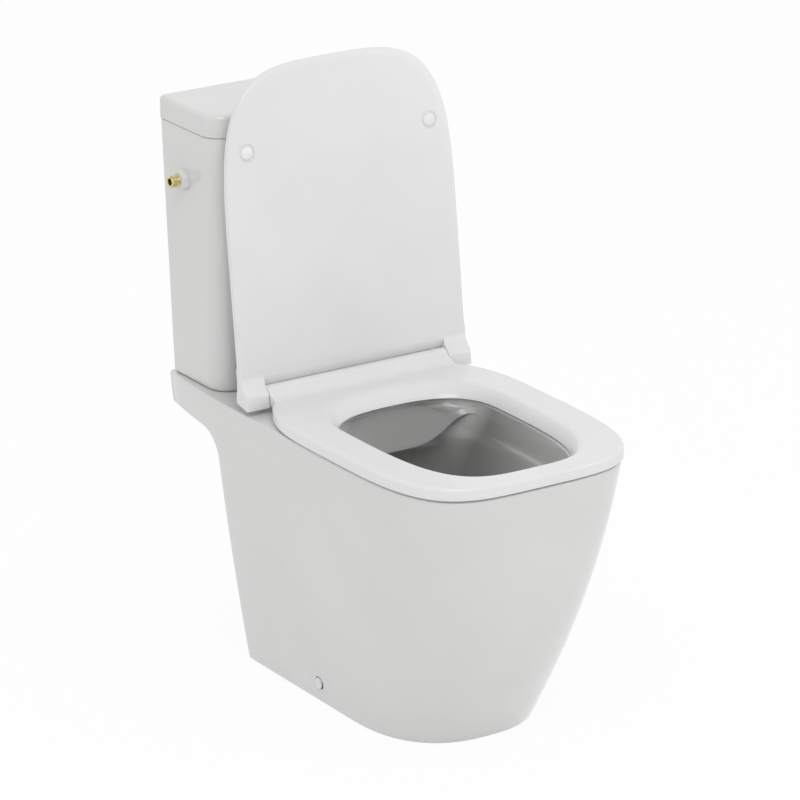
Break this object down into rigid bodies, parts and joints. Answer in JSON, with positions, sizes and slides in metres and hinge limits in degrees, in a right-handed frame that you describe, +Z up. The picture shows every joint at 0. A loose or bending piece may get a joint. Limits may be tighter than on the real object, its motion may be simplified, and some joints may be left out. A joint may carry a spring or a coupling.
{
  "type": "close coupled toilet",
  "caption": "Close coupled toilet: skirted pan, tapering cistern with dual flush button, fill and flush valves, and a soft closing seat and lid.",
  "frame": {"origin": "on the floor, in the middle of the foot between its front and its rear edge", "axes": "+X to the right as seen from the front, +Y towards the wall, +Z up"},
  "size_m": [0.3792, 0.67, 0.8533],
  "materials": {
    "glazed_white": "glossy white glaze",
    "seat_white": "glossy white moulding",
    "works_white": "off-white moulding",
    "works_blue": "blue moulding",
    "works_green": "green mesh moulding",
    "damper_grey": "dark grey moulding",
    "buffer_white": "soft white rubber",
    "seal_black": "black rubber",
    "seal_red": "red silicone rubber",
    "inlet_brass": "turned brass",
    "bright_chrome": "polished chrome plate",
    "hinge_metal": "satin stainless steel",
    "fixing_brass": "plain brass"
  },
  "bodies": {
    "pan": {"pan_rim": "glazed_white", "pan_skirt": "glazed_white", "pan_bowl": "glazed_white", "pan_trapway": "glazed_white", "cistern_tank": "glazed_white", "cistern_lid": "glazed_white", "coupling_seal": "seal_black", "coupling_bolts": "hinge_metal", "coupling_bolt_seals": "seal_black", "coupling_washers": "hinge_metal", "coupling_wing_nuts": "fixing_brass", "flush_valve_body": "works_white", "flush_valve_washer": "seal_black", "flush_valve_nut": "works_white", "flush_valve_head": "works_blue", "button_bezel": "bright_chrome", "button_nut": "works_white", "full_button_spring": "hinge_metal", "half_button_spring": "hinge_metal", "fill_valve_body": "works_white", "fill_valve_cap": "works_blue", "inlet_tail": "inlet_brass", "inlet_nut": "works_white", "inlet_washer": "seal_black", "inlet_filter": "works_green", "float_pin": "hinge_metal", "hinge_blocks": "hinge_metal", "hinge_pins": "hinge_metal", "hinge_posts": "hinge_metal", "hinge_plates": "bright_chrome", "hinge_plugs": "seal_black", "hinge_nuts": "works_white", "floor_brackets": "works_white", "side_screws": "hinge_metal", "side_caps": "bright_chrome"},
    "seat": {"seat_ring": "seat_white", "seat_buffers": "buffer_white", "seat_damper": "damper_grey", "seat_bush": "works_white"},
    "lid": {"seat_lid": "seat_white", "lid_rear_lip": "seat_white", "lid_buffers": "buffer_white", "lid_damper": "damper_grey", "lid_bush": "works_white"},
    "full_button": {"full_button": "bright_chrome", "full_button_rod": "works_white"},
    "half_button": {"half_button": "bright_chrome", "half_button_rod": "works_white"},
    "overflow": {"overflow_tube": "works_white", "flush_seal": "seal_red"},
    "float": {"float_arm": "works_white", "float_cup": "works_white"}
  },
  "joints": [
    {"name": "seat_hinge", "type": "hinge", "parent": "pan", "child": "seat", "pos_m": [0, 0.118, 0.4155], "axis": [1, 0, 0], "range_deg": [-93, 0]},
    {"name": "lid_hinge", "type": "hinge", "parent": "pan", "child": "lid", "pos_m": [0, 0.118, 0.4155], "axis": [1, 0, 0], "range_deg": [0, 96.8]},
    {"name": "full_flush", "type": "slide", "parent": "pan", "child": "full_button", "axis": [0, 0, -1], "range_m": [0, 0.005], "stiffness_N_per_m": 600, "deforming": ["full_button_spring"]},
    {"name": "half_flush", "type": "slide", "parent": "pan", "child": "half_button", "axis": [0, 0, -1], "range_m": [0, 0.005], "stiffness_N_per_m": 600, "deforming": ["half_button_spring"]},
    {"name": "overflow_lift", "type": "slide", "parent": "pan", "child": "overflow", "axis": [0, 0, 1], "range_m": [0, 0.012]},
    {"name": "float_swing", "type": "hinge", "parent": "pan", "child": "float", "pos_m": [-0.11603, 0.2665, 0.712], "axis": [0, -1, 0], "range_deg": [0, 30]}
  ],
  "couplings": [
    {"joint": "overflow_lift", "follows": "full_flush", "ratio": 2.4}
  ]
}
